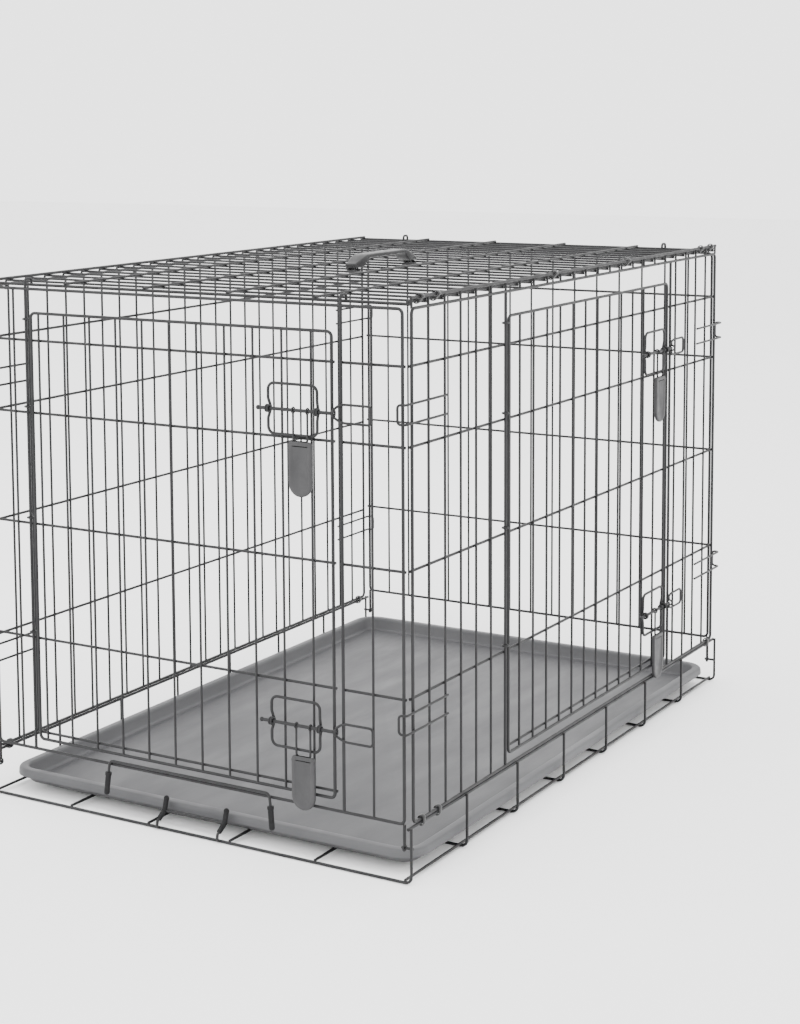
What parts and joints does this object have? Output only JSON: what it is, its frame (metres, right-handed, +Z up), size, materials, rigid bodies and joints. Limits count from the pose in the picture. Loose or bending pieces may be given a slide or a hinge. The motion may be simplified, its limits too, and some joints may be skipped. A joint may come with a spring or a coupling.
{
  "type": "wire dog crate",
  "caption": "Folding wire pet crate: wire floor tray, hinged wire walls, roof with a carry handle, a door in the front and one in a long side with slide-bolt latches, and a pull-out pan.",
  "frame": {"origin": "on the ground under the middle of the crate's bounding box", "axes": "+Z up, -Y towards the front end with its door and the pan's pull-out side, +X towards the long wall with the second door and the roof's hinge"},
  "size_m": [0.7176, 1.0906, 0.7733],
  "materials": {
    "steel": "satin black coated wire",
    "clips": "black coated flat ring clips",
    "handle": "black moulded plastic",
    "grips": "mid-grey moulded tabs",
    "pan": "grey moulded pan, light texture"
  },
  "bodies": {
    "floor": {"floor_grid": "steel", "floor_rail_left": "steel", "floor_rail_right": "steel"},
    "rear_wall": {"rear_panel": "steel", "rear_hook_left": "steel", "rear_hook_right": "steel"},
    "front_wall": {"front_panel": "steel", "front_hook_left": "steel", "front_hook_right": "steel", "front_upper_keeper": "steel", "front_lower_keeper": "steel"},
    "left_wall": {"left_panel": "steel", "left_upper_catch_left": "steel", "left_upper_catch_right": "steel", "left_lower_catch_left": "steel", "left_lower_catch_right": "steel", "left_floor_clip_1": "clips", "left_floor_clip_2": "clips"},
    "right_wall": {"right_panel": "steel", "right_upper_catch_left": "steel", "right_upper_catch_right": "steel", "right_lower_catch_left": "steel", "right_lower_catch_right": "steel", "side_upper_keeper": "steel", "side_lower_keeper": "steel", "right_floor_clip_1": "clips", "right_floor_clip_2": "clips", "right_floor_clip_3": "clips"},
    "roof": {"roof_panel": "steel", "handle_grip": "handle", "handle_clip_front": "handle", "handle_clip_rear": "handle", "roof_clip_1": "clips", "roof_clip_2": "clips", "roof_clip_3": "clips", "roof_clip_4": "clips", "roof_clip_5": "clips", "roof_clip_6": "clips"},
    "front_door": {"front_door": "steel", "front_upper_latch_frame": "steel", "front_lower_latch_frame": "steel"},
    "side_door": {"side_door": "steel", "side_upper_latch_frame": "steel", "side_lower_latch_frame": "steel"},
    "pan": {"pan": "pan"},
    "pan_latch": {"pan_latch": "steel"},
    "pan_stop": {"pan_stop": "steel"},
    "front_upper_bolt": {"front_upper_bolt": "steel"},
    "front_upper_pull": {"front_upper_hanger": "steel", "front_upper_grip": "grips"},
    "front_lower_bolt": {"front_lower_bolt": "steel"},
    "front_lower_pull": {"front_lower_hanger": "steel", "front_lower_grip": "grips"},
    "side_upper_bolt": {"side_upper_bolt": "steel"},
    "side_upper_pull": {"side_upper_hanger": "steel", "side_upper_grip": "grips"},
    "side_lower_bolt": {"side_lower_bolt": "steel"},
    "side_lower_pull": {"side_lower_hanger": "steel", "side_lower_grip": "grips"}
  },
  "joints": [
    {"name": "rear_fold", "type": "hinge", "parent": "floor", "child": "rear_wall", "pos_m": [-0.00311, 0.52821, 0.0385], "axis": [1, 0, 0], "range_deg": [0, 90], "deforming": ["rear_hook_left", "rear_hook_right"]},
    {"name": "front_fold", "type": "hinge", "parent": "floor", "child": "front_wall", "pos_m": [-0.00311, -0.52821, 0.047], "axis": [-1, 0, 0], "range_deg": [0, 90], "deforming": ["front_hook_left", "front_hook_right"]},
    {"name": "left_fold", "type": "hinge", "parent": "floor", "child": "left_wall", "pos_m": [-0.35309, 0, 0.062], "axis": [0, 1, 0], "range_deg": [0, 90], "deforming": ["left_upper_catch_left", "left_upper_catch_right", "left_lower_catch_left", "left_lower_catch_right"]},
    {"name": "right_fold", "type": "hinge", "parent": "floor", "child": "right_wall", "pos_m": [0.34687, 0, 0.074], "axis": [0, -1, 0], "range_deg": [0, 90], "deforming": ["right_upper_catch_left", "right_upper_catch_right", "right_lower_catch_left", "right_lower_catch_right"]},
    {"name": "roof_turn", "type": "hinge", "parent": "right_wall", "child": "roof", "pos_m": [0.34687, 0, 0.75975], "axis": [0, 1, 0], "range_deg": [0, 264]},
    {"name": "front_door_swing", "type": "hinge", "parent": "front_wall", "child": "front_door", "pos_m": [-0.27634, -0.52821, 0.4], "axis": [0, 0, 1], "range_deg": [-165, 0]},
    {"name": "side_door_swing", "type": "hinge", "parent": "right_wall", "child": "side_door", "pos_m": [0.34687, -0.25988, 0.4], "axis": [0, 0, 1], "range_deg": [-165, 0]},
    {"name": "front_upper_bolt_slide", "type": "slide", "parent": "front_door", "child": "front_upper_bolt", "axis": [1, 0, 0], "range_m": [-0.01, 0.009]},
    {"name": "front_upper_pull_swing", "type": "hinge", "parent": "front_upper_bolt", "child": "front_upper_pull", "pos_m": [0.19689, -0.5355, 0.6071], "axis": [1, 0, 0], "range_deg": [-150, 0]},
    {"name": "front_lower_bolt_slide", "type": "slide", "parent": "front_door", "child": "front_lower_bolt", "axis": [1, 0, 0], "range_m": [-0.01, 0.009]},
    {"name": "front_lower_pull_swing", "type": "hinge", "parent": "front_lower_bolt", "child": "front_lower_pull", "pos_m": [0.19689, -0.5355, 0.18622], "axis": [1, 0, 0], "range_deg": [-150, 0]},
    {"name": "side_upper_bolt_slide", "type": "slide", "parent": "side_door", "child": "side_upper_bolt", "axis": [0, 1, 0], "range_m": [-0.01, 0.009]},
    {"name": "side_upper_pull_swing", "type": "hinge", "parent": "side_upper_bolt", "child": "side_upper_pull", "pos_m": [0.35417, 0.27, 0.6073], "axis": [0, 1, 0], "range_deg": [-150, 0]},
    {"name": "side_lower_bolt_slide", "type": "slide", "parent": "side_door", "child": "side_lower_bolt", "axis": [0, 1, 0], "range_m": [-0.01, 0.009]},
    {"name": "side_lower_pull_swing", "type": "hinge", "parent": "side_lower_bolt", "child": "side_lower_pull", "pos_m": [0.35417, 0.27, 0.18706], "axis": [0, 1, 0], "range_deg": [-150, 0]},
    {"name": "pan_slide", "type": "slide", "parent": "floor", "child": "pan", "axis": [0, 1, 0], "range_m": [-0.62, 0]},
    {"name": "pan_latch_turn", "type": "hinge", "parent": "pan", "child": "pan_latch", "pos_m": [-0.00311, -0.5103, 0.034], "axis": [1, 0, 0], "range_deg": [-100, 0]},
    {"name": "pan_stop_turn", "type": "hinge", "parent": "front_wall", "child": "pan_stop", "pos_m": [-0.00311, -0.53228, 0.084], "axis": [1, 0, 0], "range_deg": [-100, 0]}
  ],
  "couplings": [
    {"joint": "roof_turn", "follows": "right_fold", "ratio": 2.933}
  ]
}
